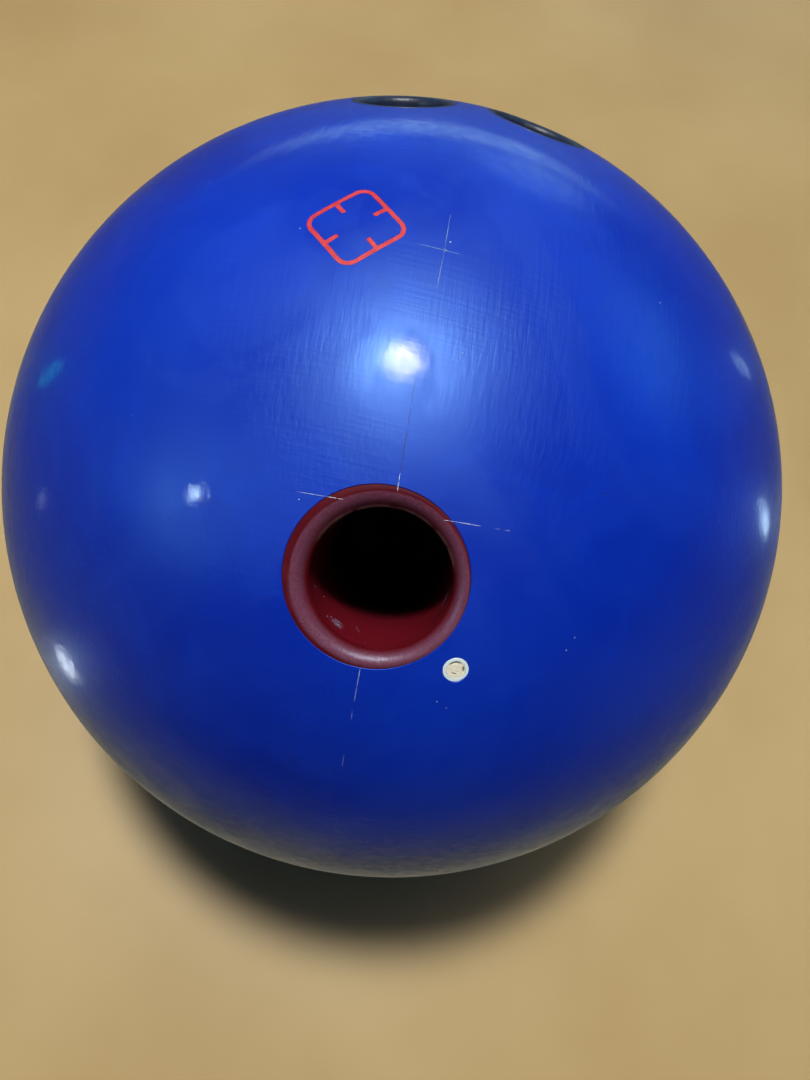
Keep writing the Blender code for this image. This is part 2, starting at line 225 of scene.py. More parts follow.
def pitched_frame(direction, reverse, lateral):
    """Frame on the surface whose line passes the ball's centre by the two pitches."""
    straight = radial_frame(direction)
    side, up = straight.col[0].to_3d(), straight.col[1].to_3d()
    aim = lateral * side - reverse * up
    return frame_at(direction * BALL_RADIUS, direction * BALL_RADIUS - aim)


def locator_direction(bias):
    """The locator pin's direction: at its azimuth, square to the mass bias pin's."""
    level = Vector((math.sin(LOCATOR_AZIMUTH), math.cos(LOCATOR_AZIMUTH), 0.0))
    elevation = math.atan2(-level.dot(bias), bias.z)
    return level * math.cos(elevation) + Vector((0.0, 0.0, math.sin(elevation)))


THUMB = surface_direction(0.0, -THUMB_ARC)
BIAS = surface_direction(BIAS_SIDE, -BIAS_ARC)
THUMB_FRAME = pitched_frame(THUMB, THUMB_REVERSE_PITCH, THUMB_LATERAL_PITCH)
MIDDLE_FRAME = pitched_frame(
    surface_direction(MIDDLE_SIDE, MIDDLE_ARC), 0.0, -FINGER_LATERAL_PITCH
)
RING_FRAME = pitched_frame(
    surface_direction(RING_SIDE, RING_ARC), 0.0, FINGER_LATERAL_PITCH
)
BIAS_FRAME = radial_frame(BIAS)
LOCATOR_FRAME = radial_frame(locator_direction(BIAS))
MARK_FRAME = radial_frame(
    surface_direction(MARK_SIDE_OFFSET, MARK_ARC)
) @ Matrix.Rotation(math.radians(45), 4, "Z")


# ---------------------------------------------------------------- mesh building


def ramp(value, start, end):
    """0 at start, 1 at end, and a straight line between them."""
    return min(max((value - start) / (end - start), 0.0), 1.0)


def new_object(name, mesh):
    obj = bpy.data.objects.new(name, mesh)
    bpy.context.scene.collection.objects.link(obj)
    return obj


def mesh_from(name, bm, outward=False):
    """A mesh of the bmesh, which is freed. With outward, its normals are made to point out first."""
    if outward:
        bmesh.ops.recalc_face_normals(bm, faces=bm.faces)
    mesh = bpy.data.meshes.new(name)
    bm.to_mesh(mesh)
    bm.free()
    return mesh


def circle(radius, count, centre=(0.0, 0.0)):
    """Points of a circle in a plane, as an array of (u, v)."""
    turn = np.linspace(0.0, 2 * math.pi, count, endpoint=False)
    return np.stack(
        [centre[0] + radius * np.cos(turn), centre[1] + radius * np.sin(turn)], axis=1
    )


def on_ball(matrix, flat, level=0.0):
    """The points (u, v) of a frame, moved along its +Z onto the sphere `level` above the surface."""
    origin = np.array(matrix.translation)
    x, y, z = (np.array(matrix.col[i])[:3] for i in range(3))
    base = origin + flat[:, :1] * x + flat[:, 1:] * y
    along = base @ z
    radius = BALL_RADIUS + level
    rise = -along + np.sqrt(along**2 - (base**2).sum(axis=1) + radius**2)
    return base + rise[:, None] * z


def at_depth(matrix, flat, depth):
    """The points (u, v) of a frame, in the plane this far down its line."""
    points = [matrix @ Vector((u, v, -depth)) for u, v in flat]
    return np.array(points)


def loft(name, rings, around=False):
    """Mesh through rings of points. A fan of faces closes each end, or the last ring joins the first."""
    count = len(rings[0])
    bm = bmesh.new()
    rows = [[bm.verts.new(point) for point in ring] for ring in rings]
    pairs = list(zip(rows, rows[1:]))
    if around:
        pairs.append((rows[-1], rows[0]))
    for upper, lower in pairs:
        for i in range(count):
            j = (i + 1) % count
            bm.faces.new((upper[i], lower[i], lower[j], upper[j]))
    ends = () if around else (rows[0], rows[-1])
    for row in ends:
        middle = bm.verts.new(sum((v.co for v in row), Vector()) / count)
        for i in range(count):
            bm.faces.new((row[i], row[(i + 1) % count], middle))
    mesh = mesh_from(name, bm, outward=True)
    mesh.shade_smooth()
    return mesh


def smooth(obj, degrees=40):
    obj.data.shade_smooth()
    obj.data.set_sharp_from_angle(angle=math.radians(degrees))


def apply_modifiers(obj):
    graph = bpy.context.evaluated_depsgraph_get()
    mesh = bpy.data.meshes.new_from_object(obj.evaluated_get(graph))
    obj.modifiers.clear()
    obj.data = mesh


def radial_normals(obj):
    """Give every corner on the ball's surface the sphere's own normal, so that the gloss is even."""
    mesh = obj.data
    mesh.shade_smooth()
    mesh.set_sharp_from_angle(angle=math.radians(30))
    normals = [Vector(corner.vector) for corner in mesh.corner_normals]
    points = [vertex.co for vertex in mesh.vertices]
    for face in mesh.polygons:
        outer = all(
            abs(points[v].length - BALL_RADIUS) < SURFACE_REACH for v in face.vertices
        )
        if outer and face.normal.dot(face.center.normalized()) > FACING_OUT:
            for loop in face.loop_indices:
                normals[loop] = points[mesh.loops[loop].vertex_index].normalized()
    mesh.normals_split_custom_set(normals)


def done(piece, node, material):
    """Put a finished piece on the ball, in its CAD node's place where it has one."""
    piece.data.materials.clear()
    piece.data.materials.append(material)
    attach(piece, "root")
    if node:
        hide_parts(node)


# ---------------------------------------------------------------- cutters and pieces


def hole_cutter(name, matrix, radius, depth, count=HOLE_SEGMENTS, tip=0.0, step=None):
    """Cutter of a round hole whose edge at the ball's surface is broken by a tiny chamfer.

    With a step (depth, radius), the hole narrows to that radius at that depth.
    """
    wide = circle(radius + EDGE_BREAK, count)
    full = circle(radius, count)
    rings = [
        on_ball(matrix, wide, OUTSIDE),
        on_ball(matrix, wide),
        on_ball(matrix, full, -EDGE_BREAK),
    ]
    narrow = full
    if step:
        ledge, inner = step
        narrow = circle(inner, count)
        rings += [at_depth(matrix, full, ledge), at_depth(matrix, narrow, ledge)]
    rings.append(at_depth(matrix, narrow, depth))
    rings.append(at_depth(matrix, narrow * POLE, depth + tip))
    return new_object(name, loft(name, rings))


def cut(obj, *cutters):
    """Cut the holes out of the mesh, and remove the cutters."""
    for cutter in cutters:
        modifier = obj.modifiers.new(cutter.name, "BOOLEAN")
        modifier.operation = "DIFFERENCE"
        modifier.solver = "EXACT"
        modifier.object = cutter
    apply_modifiers(obj)
    for cutter in cutters:
        bpy.data.objects.remove(cutter)


def fine_ball(name, radius, segments):
    """Sphere with a point on each axis."""
    bm = bmesh.new()
    bmesh.ops.create_uvsphere(
        bm, u_segments=segments, v_segments=segments // 2, radius=radius
    )
    return new_object(name, mesh_from(name, bm))


def make_cover(material):
    """The shell, with its hollow, its drilled holes and the mark's groove."""
    cover = fine_ball("cover_shell", BALL_RADIUS, BALL_SEGMENTS)
    hollow = fine_ball("hollow", BALL_RADIUS - COVER_THICKNESS, BALL_SEGMENTS // 4)
    step = (INSERT_LENGTH + SEAM, INSERT_BORE_RADIUS)
    cut(
        cover,
        hollow,
        hole_cutter("thumb", THUMB_FRAME, SLUG_RADIUS + SEAM, SLUG_LENGTH + SEAM),
        *(
            hole_cutter(
                name,
                matrix,
                INSERT_RADIUS + SEAM,
                FINGER_HOLE_DEPTH,
                tip=FINGER_TIP,
                step=step,
            )
            for name, matrix in (("middle", MIDDLE_FRAME), ("ring", RING_FRAME))
        ),
        hole_cutter(
            "locator",
            LOCATOR_FRAME,
            LOCATOR_RADIUS + SEAM,
            BALL_RADIUS - CAP_TOP,
            PIN_SEGMENTS,
        ),
        hole_cutter(
            "bias", BIAS_FRAME, BIAS_RADIUS + SEAM, BIAS_LENGTH + SEAM, PIN_SEGMENTS
        ),
        mark_solid("groove", MARK_SEAM, OUTSIDE / 2, MARK_DEPTH + SEAM),
    )
    radial_normals(cover)
    done(cover, "coverstock", material)


def lip_profile(step):
    """How far (down, inward) the slug's lip is at this share of its way: flat first, then steep."""
    turn = step * math.pi / 2
    return 1 - math.cos(turn) ** LIP_BEND, math.sin(turn) ** LIP_BEND


def slug_rings():
    """Rings of the thumb slug, from its foot up the outside, over the lip and down the bore."""
    count = HOLE_SEGMENTS
    outer = circle(SLUG_RADIUS, count)
    flush = circle(SLUG_RADIUS - SEAM, count)
    lip = circle(LIP_RADIUS, count, LIP_CENTRE)
    bore = circle(BORE_RADIUS, count, BORE_CENTRE)
    rings = [
        at_depth(THUMB_FRAME, outer * POLE, SLUG_LENGTH),
        at_depth(THUMB_FRAME, outer * 0.97, SLUG_LENGTH),
        at_depth(THUMB_FRAME, outer, SLUG_LENGTH * 0.99),
        at_depth(THUMB_FRAME, outer, SLUG_LENGTH * 0.5),
        on_ball(THUMB_FRAME, outer, -SEAM),
        on_ball(THUMB_FRAME, flush),
        on_ball(THUMB_FRAME, 0.5 * (flush + lip)),
    ]
    for k in range(LIP_STEPS + 1):
        down, inward = lip_profile(k / LIP_STEPS)
        ring = lip + (bore - lip) * inward
        rings.append(on_ball(THUMB_FRAME, ring, -LIP_DEPTH * down))
    top = LIP_DEPTH + 2.5 * MM
    for k in range(BORE_STEPS + 1):
        depth = top + (BORE_DEPTH - BORE_CORNER - top) * k / BORE_STEPS
        rings.append(at_depth(THUMB_FRAME, bore, depth))
    centre = np.array(BORE_CENTRE)
    for k in range(1, BORE_CORNER_STEPS + 1):
        turn = k / BORE_CORNER_STEPS * math.pi / 2
        shrink = 1 - 0.07 * (1 - math.cos(turn))
        depth = BORE_DEPTH - BORE_CORNER * (1 - math.sin(turn))
        rings.append(at_depth(THUMB_FRAME, centre + (bore - centre) * shrink, depth))
    for share in (0.5, POLE):
        depth = BORE_DEPTH + BORE_TIP * (1 - share)
        rings.append(at_depth(THUMB_FRAME, centre + (bore - centre) * share, depth))
    return rings


def make_slug(material):
    slug = new_object("thumb_slug_fine", loft("thumb_slug_fine", slug_rings()))
    smooth(slug, 35)
    paint_slug(slug)
    done(slug, "thumb_slug", material)


def paint_slug(slug):
    """Point attributes for the material: how sanded each place is, how much of the pale edge line it
    carries (partly wear, partly a painted highlight), and how deep it is.
    """
    mesh = slug.data
    inverse = THUMB_FRAME.inverted()
    names = ("sanded", "wear_and_painted_light", "deep")
    sanded, wear_and_painted_light, deep = (mesh.attributes.new(name, "FLOAT", "POINT") for name in names)
    for i, vertex in enumerate(mesh.vertices):
        local = inverse @ vertex.co
        below = BALL_RADIUS - vertex.co.length
        from_lip = math.hypot(local.x - SANDED_CENTRE[0], local.y - SANDED_CENTRE[1])
        from_bore = math.hypot(local.x - BORE_CENTRE[0], local.y - BORE_CENTRE[1])
        towards_fingers = (local.y - BORE_CENTRE[1]) / max(from_bore, 1e-6)
        on_lip = ramp(SANDED_RADIUS - from_lip, 0.0, 0.25 * MM)
        sanded.data[i].value = on_lip * ramp(below, *SANDED_DEPTHS)
        # pale line on the bore's upper edge towards the fingers: partly wear, partly a painted highlight
        at_edge = ramp(below, *WEAR_AND_HIGHLIGHT_TOP) * ramp(below, *WEAR_AND_HIGHLIGHT_FOOT)
        wear_and_painted_light.data[i].value = at_edge * ramp(towards_fingers, 0.30, 0.75)
        deep.data[i].value = ramp(below, 0.0, BORE_DEPTH)


def make_insert(name, node, matrix, material):
    """Soft tube with a rounded mouth, open at both ends."""
    count = HOLE_SEGMENTS
    outer = circle(INSERT_RADIUS, count)
    lip = circle(INSERT_LIP_RADIUS, count)
    bore = circle(INSERT_BORE_RADIUS, count)
    rings = [
        at_depth(matrix, outer, INSERT_LENGTH),
        at_depth(matrix, outer, INSERT_LENGTH * 0.5),
        on_ball(matrix, outer, -0.06 * MM),
        on_ball(matrix, outer * 0.996),
    ]
    for k in range(LIP_STEPS + 1):
        turn = k / LIP_STEPS * math.pi / 2
        ring = lip + (bore - lip) * math.sin(turn)
        level = -INSERT_LIP_DEPTH * (1 - math.cos(turn))
        rings.append(on_ball(matrix, ring, level))
    for k in range(1, INSERT_STEPS + 1):
        depth = INSERT_LIP_DEPTH + (INSERT_LENGTH - INSERT_LIP_DEPTH) * k / INSERT_STEPS
        rings.append(at_depth(matrix, bore, depth))
    insert = new_object(name, loft(name, rings, around=True))
    smooth(insert)
    done(insert, node, material)


def smear(u, v, marks):
    """How strongly a place is marked, from 0 to 1. PLUG_DIRT_AND_SHADE says what each mark holds."""
    turn, radius = math.degrees(math.atan2(v, u)), math.hypot(u, v)
    found = 0.0
    for middle, spread, at, width in marks:
        along = abs((turn - middle + 180) % 360 - 180) / spread
        across = abs(radius - at) / width
        found = max(found, ramp(max(along, across), 1.0, 0.45))
    return found


def dirty_shaded_plug(name, matrix, radius, depth):
    """Solid pin whose face is chipped low in a few places, marked there for dark paint that is partly dirt
    and partly painted shade.
    """
    outer = circle(radius, PIN_SEGMENTS)
    shares = [k / PLUG_RINGS for k in range(PLUG_RINGS, 0, -1)] + [0.01]
    rings = [at_depth(matrix, outer, depth)]
    rings += [on_ball(matrix, outer * share, -PLUG_DROP) for share in shares]
    plug = new_object(name, loft(name, rings))
    dirt_and_shade = plug.data.attributes.new("dirt_and_shade", "FLOAT", "POINT")
    inverse = matrix.inverted()
    for i, vertex in enumerate(plug.data.vertices):
        local = inverse @ vertex.co
        if local.z > -1.0 * MM:
            dirt_and_shade.data[i].value = smear(local.x, local.y, PLUG_DIRT_AND_SHADE)
            vertex.co -= matrix.col[2].to_3d() * dirt_and_shade.data[i].value * PLUG_CHIP
    smooth(plug)
    return plug


def rod(name, matrix, radius, depth, bore=None):
    """Round pin, flush with the ball and solid, or a sleeve where it has a bore."""
    outer = circle(radius, PIN_SEGMENTS)
    rings = [
        at_depth(matrix, outer, depth),
        on_ball(matrix, outer, -PIN_EDGE),
        on_ball(matrix, outer * (1 - PIN_EDGE / radius)),
    ]
    if bore:
        inner = circle(bore, PIN_SEGMENTS)
        rings.append(on_ball(matrix, inner * (1 + PIN_EDGE / bore)))
        rings.append(on_ball(matrix, inner, -PIN_EDGE))
        rings.append(at_depth(matrix, inner, depth))
    else:
        for share in (0.75, 0.5, 0.25, POLE):
            rings.append(on_ball(matrix, outer * share))
    piece = new_object(name, loft(name, rings, around=bool(bore)))
    smooth(piece)
    return piece


def make_pins(pin, sleeve, plug):
    length = BALL_RADIUS - CAP_TOP - 0.3 * MM
    locator = rod("locator_pin_fine", LOCATOR_FRAME, LOCATOR_RADIUS, length)
    done(locator, "locator_pin", pin)
    ring = rod(
        "mass_bias_sleeve_fine",
        BIAS_FRAME,
        BIAS_RADIUS,
        BIAS_LENGTH,
        bore=BIAS_PLUG_RADIUS + SEAM,
    )
    done(ring, "mass_bias_pin_sleeve", sleeve)
    core = dirty_shaded_plug(
        "mass_bias_plug_fine", BIAS_FRAME, BIAS_PLUG_RADIUS, BIAS_LENGTH
    )
    done(core, "mass_bias_pin_plug", plug)


# ---------------------------------------------------------------- the coloured mark


def rounded_square(size, corner):
    """Corners of a square outline, each rounded by an arc."""
    centre = size / 2 - corner
    found = []
    for k in range(4 * (CORNER_STEPS + 1)):
        quarter, step = divmod(k, CORNER_STEPS + 1)
        middle = math.radians(45 + 90 * quarter)
        turn = math.radians(90 * quarter + 90 * step / CORNER_STEPS)
        found.append(
            (
                centre * math.sqrt(2) * math.cos(middle) + corner * math.cos(turn),
                centre * math.sqrt(2) * math.sin(middle) + corner * math.sin(turn),
            )
        )
    return found


def ticked_square(size, corner, line, tick):
    """A rounded square with a tick standing inwards from the middle of each side."""
    half = size / 2
    per_side = CORNER_STEPS + 1
    corners = rounded_square(size, corner)
    found = []
    for quarter in range(4):
        turn = Matrix.Rotation(math.radians(90 * quarter), 2)
        notch = (
            (half, -line / 2),
            (half - tick, -line / 2),
            (half - tick, line / 2),
            (half, line / 2),
        )
        found += [tuple(turn @ Vector(point)) for point in notch]
        found += corners[per_side * quarter : per_side * (quarter + 1)]
    return found


def dense(outline, step):
    """The outline with points added, so that none of its edges is longer than the step."""
    found = []
    for (x0, y0), (x1, y1) in zip(outline, outline[1:] + outline[:1]):
        pieces = max(1, math.ceil(math.hypot(x1 - x0, y1 - y0) / step))
        for k in range(pieces):
            share = k / pieces
            found.append((x0 + (x1 - x0) * share, y0 + (y1 - y0) * share))
    return found


def mark_solid(name, grow, above, below):
    """The mark's outline as a solid that follows the ball, from above its surface to below it."""
    size = MARK_SIZE + 2 * grow
    line = MARK_LINE + 2 * grow
    outer = rounded_square(size, MARK_CORNER + grow)
    inner = ticked_square(
        size - 2 * line, MARK_CORNER - MARK_LINE - grow, line, MARK_TICK
    )
    bm = bmesh.new()
    edges = []
    for outline in (outer, inner):
        ring = [bm.verts.new((x, y, 0.0)) for x, y in dense(outline, MARK_STEP)]
        edges += [bm.edges.new((ring[i - 1], ring[i])) for i in range(len(ring))]
    bmesh.ops.triangle_fill(bm, edges=edges, use_beauty=True)
    raised = bmesh.ops.extrude_face_region(bm, geom=bm.faces[:])["geom"]
    top = {item for item in raised if isinstance(item, bmesh.types.BMVert)}
    for vertex in bm.verts:
        level = above if vertex in top else -below
        flat = np.array([[vertex.co.x, vertex.co.y]])
        vertex.co = on_ball(MARK_FRAME, flat, level)[0]
    return new_object(name, mesh_from(name, bm, outward=True))


def make_mark(material):
    mark = mark_solid("mark_fine", 0.0, MARK_TOP, MARK_DEPTH)
    smooth(mark)
    done(mark, "mark_inlay", material)


# ---------------------------------------------------------------- scribed lines


def lip_drop(point):
    """How far below the ball's surface the slug's lip lies, along the slug's line through this point."""
    local = THUMB_FRAME.inverted() @ point
    low, high = 0.0, 1.0
    for _ in range(LIP_HALVINGS):
        share = (low + high) / 2
        x, y = (a + (b - a) * share for a, b in zip(LIP_CENTRE, BORE_CENTRE))
        radius = LIP_RADIUS + (BORE_RADIUS - LIP_RADIUS) * share
        if math.hypot(local.x - x, local.y - y) < radius:
            low = share
        else:
            high = share
    down, _ = lip_profile(math.asin(low ** (1 / LIP_BEND)) / (math.pi / 2))
    return LIP_DEPTH * down


def skin(bm, rows):
    """Faces round a closed strip, through rows of four corners each."""
    for upper, lower in zip(rows, rows[1:]):
        for i in range(4):
            j = (i + 1) % 4
            bm.faces.new((upper[i], upper[j], lower[j], lower[i]))
    bm.faces.new(rows[0])
    bm.faces.new(rows[-1])


def scribe(bm, start, end, width):
    """A hair-thin strip along the surface between two (side, arc) places in mm, tapered to its ends."""
    length = math.hypot(end[0] - start[0], end[1] - start[1]) * MM
    count = max(4, math.ceil(length / SCRIBE_STEP))
    places = []
    for k in range(count + 1):
        share = k / count
        side, arc = (MM * (a + (b - a) * share) for a, b in zip(start, end))
        places.append(surface_direction(side, arc) * BALL_RADIUS)
    rows = []
    for k, place in enumerate(places):
        ahead = places[min(k + 1, count)] - places[max(k - 1, 0)]
        out = place.normalized()
        across = out.cross(ahead).normalized()
        taper = min(1.0, 0.35 + 2.0 * min(k, count - k) / count)
        half = across * width * taper / 2
        down = THUMB_FRAME.col[2].to_3d() * lip_drop(place)
        top = place - down + out * SCRIBE_TOP
        foot = place - down - out * SCRIBE_FOOT
        corners = (top + half, top - half, foot - half, foot + half)
        rows.append([bm.verts.new(corner) for corner in corners])
    skin(bm, rows)


def strips(name, lines, material):
    """One piece of several strips. Each line is (start, end, width), with its places and width in mm."""
    bm = bmesh.new()
    for start, end, width in lines:
        scribe(bm, start, end, width * MM)
    piece = new_object(name, mesh_from(name, bm, outward=True))
    done(piece, None, material)


def make_scribes(pale, faint, dark):
    """The driller's layout lines: a cross at the grip centre, the centre line, and one by the thumb."""
    cross = (
        ((-0.35, 8.9), (-0.05, -1.5), 0.12),
        ((-0.05, -1.3), (0.0, -8.6), 0.13),
        ((-5.2, 0.25), (3.3, -0.2), 0.12),
        ((-0.02, 0.36), (0.02, -0.34), 0.55),
    )
    pale_lines = (
        ((0.62, 2.05), (0.78, 2.35), 0.34),
        ((0.36, -43.9), (0.45, -45.2), 0.14),
        ((0.45, -45.3), (0.52, -47.0), 0.24),
        ((0.50, -80.3), (0.62, -84.4), 0.13),
        ((0.62, -84.6), (0.72, -87.5), 0.10),
        ((0.75, -89.9), (0.80, -92.0), 0.06),
        ((0.94, -101.2), (0.98, -104.2), 0.06),
        ((-16.9, -50.75), (-11.6, -50.54), 0.11),
        ((-11.5, -50.52), (-8.5, -50.4), 0.15),
        ((9.6, -50.3), (11.4, -50.22), 0.15),
        ((11.5, -50.2), (16.2, -50.05), 0.12),
        ((18.9, -49.95), (19.9, -49.9), 0.06),
        ((20.5, -49.9), (21.7, -49.85), 0.06),
    )
    # painted shade: this stretch of the centre line is coloured dark, standing in for a groove that
    # catches no gloss
    dark_lines = (
        ((-0.44, -26.4), (-0.24, -31.6), 0.09),
        ((-0.20, -32.1), (-0.04, -35.4), 0.13),
        ((0.00, -36.0), (0.22, -41.6), 0.15),
        ((0.24, -41.9), (0.32, -43.8), 0.12),
    )
    strips("scribed_cross", cross, faint)
    strips("scribed_lines", pale_lines, pale)
    strips("scribed_grooves", dark_lines, dark)


def make_scrape(material):
    """A bluish scrape and a few nicks on the bore's wall, each a hair-thin strip along it."""
    bm = bmesh.new()
    draw = random.Random(7)
    marks = [
        (
            SCRAPE_TURN + draw.gauss(0.0, 3.2),
            SCRAPE_DEPTH + draw.gauss(0.0, 1.9),
            draw.uniform(2.0, 8.0),
            draw.uniform(-3.0, 2.4),
            draw.uniform(0.12, 0.22),
        )
        for _ in range(SCRAPE_COUNT)
    ]
    for turn, depth, span, slope, width in marks + NICKS:
        rows = []
        for k in range(SCRAPE_STEPS + 1):
            share = k / SCRAPE_STEPS - 0.5
            angle = math.radians(turn + span * share)
            half = width * (1.1 - 2 * abs(share)) / 2
            row = []
            for out, rise in ((-1, -1), (-1, 1), (1, 1), (1, -1)):
                radius = BORE_RADIUS + out * SCRAPE_THICKNESS
                x = BORE_CENTRE[0] + radius * math.cos(angle)
                y = BORE_CENTRE[1] + radius * math.sin(angle)
                down = (depth + slope * share + rise * half) * MM
                row.append(bm.verts.new(THUMB_FRAME @ Vector((x, y, -down))))
            rows.append(row)
        skin(bm, rows)
    piece = new_object("bore_scrape", mesh_from("bore_scrape", bm, outward=True))
    done(piece, None, material)


# ---------------------------------------------------------------- materials


class Shading:
    """A node material, and short ways to add to it. Coordinates are the frame's own, in metres."""

    def __init__(self, name):
        self.material = bpy.data.materials.new(name)
        self.material.use_nodes = True
        self.tree = self.material.node_tree
        self.tree.nodes.clear()
        output = self.add("ShaderNodeOutputMaterial")
        self.shader = self.add("ShaderNodeBsdfPrincipled")
        self.link(self.shader.outputs["BSDF"], output.inputs["Surface"])
        self.place = self.add("ShaderNodeTexCoord").outputs["Object"]

    def add(self, kind, **values):
        node = self.tree.nodes.new(kind)
        for key, value in values.items():
            setattr(node, key, value)
        return node

    def link(self, source, target):
        self.tree.links.new(source, target)

    def feed(self, socket, value):
        """Give a socket a number, a colour or another node's output."""
        if isinstance(value, bpy.types.NodeSocket):
            self.link(value, socket)
        else:
            socket.default_value = value

    def stretched(self, often, turn=(0.0, 0.0, 0.0)):
        """Coordinates along turned axes (Euler angles in degrees), so often per metre along each."""
        node = self.add("ShaderNodeMapping", vector_type="TEXTURE")
        self.link(self.place, node.inputs["Vector"])
        node.inputs["Rotation"].default_value = [math.radians(a) for a in turn]
        node.inputs["Scale"].default_value = [1 / a for a in often]
        return node.outputs["Vector"]

    def noise(self, scale, detail=2.0, rough=0.5, distortion=0.0, place=None):
        node = self.add("ShaderNodeTexNoise")
        self.link(place or self.place, node.inputs["Vector"])
        node.inputs["Scale"].default_value = scale
        node.inputs["Detail"].default_value = detail
        node.inputs["Roughness"].default_value = rough
        node.inputs["Distortion"].default_value = distortion
        return node.outputs["Fac"]

    def cells(self, scale, feature="F1"):
        node = self.add("ShaderNodeTexVoronoi", feature=feature)
        self.link(self.place, node.inputs["Vector"])
        node.inputs["Scale"].default_value = scale
        return node.outputs["Distance"]

    def math(self, operation, first, second):
        node = self.add("ShaderNodeMath", operation=operation)
        self.feed(node.inputs[0], first)
        self.feed(node.inputs[1], second)
        return node.outputs[0]

    def range(self, value, low, high, new_low=0.0, new_high=1.0):
        node = self.add("ShaderNodeMapRange", interpolation_type="SMOOTHSTEP")
        self.feed(node.inputs["Value"], value)
        numbers = (low, high, new_low, new_high)
        for key, number in zip(("From Min", "From Max", "To Min", "To Max"), numbers):
            node.inputs[key].default_value = number
        return node.outputs["Result"]

    def mix(self, share, first, second):
        node = self.add("ShaderNodeMix", data_type="RGBA")
        self.feed(node.inputs["Factor"], share)
        self.feed(node.inputs[6], first)
        self.feed(node.inputs[7], second)
        return node.outputs[2]

    def attribute(self, name):
        node = self.add("ShaderNodeAttribute", attribute_name=name)
        return node.outputs["Fac"]

    def bump(self, height, distance, strength=1.0, socket="Normal"):
        """Link the height, in units of `distance` metres, to one of the shader's normals."""
        node = self.add("ShaderNodeBump")
        node.inputs["Distance"].default_value = distance
        node.inputs["Strength"].default_value = strength
        self.link(height, node.inputs["Height"])
        self.link(node.outputs["Normal"], self.shader.inputs[socket])

    def set(self, **values):
        """Set the shader's sockets: base_color=..., roughness=... and so on."""
        for key, value in values.items():
            socket = self.shader.inputs[key.replace("_", " ").title()]
            self.feed(socket, value)

    def brushed(self, turn, across_x, across_y):
        """Fine straight lines: a noise so often per metre along turned axes, strong in some patches."""
        lines = self.noise(
            1.0, 2.0, 0.6, place=self.stretched((across_x, across_y, 900.0), turn)
        )
        where = self.noise(24.0, 2.0, 0.5, place=self.stretched((1, 1, 1), turn))
        strength = self.range(where, 0.35, 0.65, 0.2, 1.0)
        return self.math("MULTIPLY", self.math("SUBTRACT", lines, 0.5), strength)


def rgb(red, green, blue):
    return (red, green, blue, 1.0)


def cover_material():
    """Polished blue resin: a pearly sheen under a thin gloss, finely brushed, with specks, and pits
    painted near black as painted shade.
    """
    m = Shading("polished_blue_coverstock")
    cloud = m.noise(14.0, 4.0, 0.55, 0.6)
    swirl = m.noise(46.0, 5.0, 0.6, 1.2)
    blue = m.mix(
        m.range(cloud, 0.35, 0.68), rgb(0.0002, 0.018, 0.44), rgb(0.0004, 0.028, 0.53)
    )
    blue = m.mix(
        m.range(swirl, 0.45, 0.75, 0.0, 0.35), blue, rgb(0.0008, 0.038, 0.62)
    )
    upright = m.brushed((0, 0, 4), 1100.0, 24.0)
    level = m.brushed((0, 0, -3), 22.0, 1200.0)
    brushed = m.math("ADD", upright, m.math("MULTIPLY", level, 0.6))
    haze = m.noise(20.0, 5.0, 0.55, 1.6)
    smears = m.range(m.noise(13.0, 3.0, 0.6, 2.2), 0.50, 0.545, 0.0, 0.05)
    film = m.noise(26.0, 4.0, 0.6, 0.8)
    mottle = m.range(m.noise(420.0, 5.0, 0.7, 0.5), 0.36, 0.64, 0.6, 1.2)
    specks = m.math(
        "MULTIPLY",
        m.range(m.cells(310.0), 0.030, 0.065, 1.0, 0.0),
        m.range(m.noise(95.0, 1.0), 0.655, 0.68),
    )
    pits = m.math(
        "MULTIPLY",
        m.range(m.cells(240.0), 0.030, 0.060, 1.0, 0.0),
        m.range(m.noise(60.0, 1.0), 0.37, 0.35),
    )
    colour = m.mix(m.math("MULTIPLY", specks, 0.7), blue, rgb(0.40, 0.50, 0.68))
    # painted shade: the tiny pits are coloured near black, standing in for the shade in the holes
    colour = m.mix(m.math("MULTIPLY", pits, 0.85), colour, rgb(0.001, 0.003, 0.03))
    wear_and_painted_light = m.math("MAXIMUM", specks, pits)
    satin = m.math("ADD", m.range(haze, 0.35, 0.65, 0.37, 0.49), smears)
    roughness = m.math("ADD", satin, m.math("MULTIPLY", wear_and_painted_light, 0.2))
    m.set(
        base_color=colour,
        roughness=roughness,
        coat_weight=m.math("MULTIPLY", m.range(film, 0.35, 0.65, 0.60, 0.95), mottle),
    )
    m.shader.inputs["Metallic"].default_value = 0.12
    m.shader.inputs["IOR"].default_value = 1.62
    m.shader.inputs["Specular Tint"].default_value = rgb(0.48, 1.0, 1.0)
    m.shader.inputs["Coat Roughness"].default_value = 0.075
    m.shader.inputs["Coat IOR"].default_value = 1.18
    height = m.math("SUBTRACT", brushed, m.math("MULTIPLY", wear_and_painted_light, 0.6))
    m.bump(height, 0.085 * MM)
    m.bump(height, 0.05 * MM, socket="Coat Normal")
    return m.material


def scribe_material(name, pale, dull):
    """A scratch in the blue resin, dusty in places."""
    m = Shading(name)
    wear = m.noise(1100.0, 3.0, 0.6)
    colour = m.mix(m.range(wear, 0.34, 0.52), rgb(*dull), rgb(*pale))
    m.set(base_color=colour, roughness=m.range(wear, 0.3, 0.7, 0.65, 0.45))
    m.bump(wear, 0.02 * MM)
    return m.material


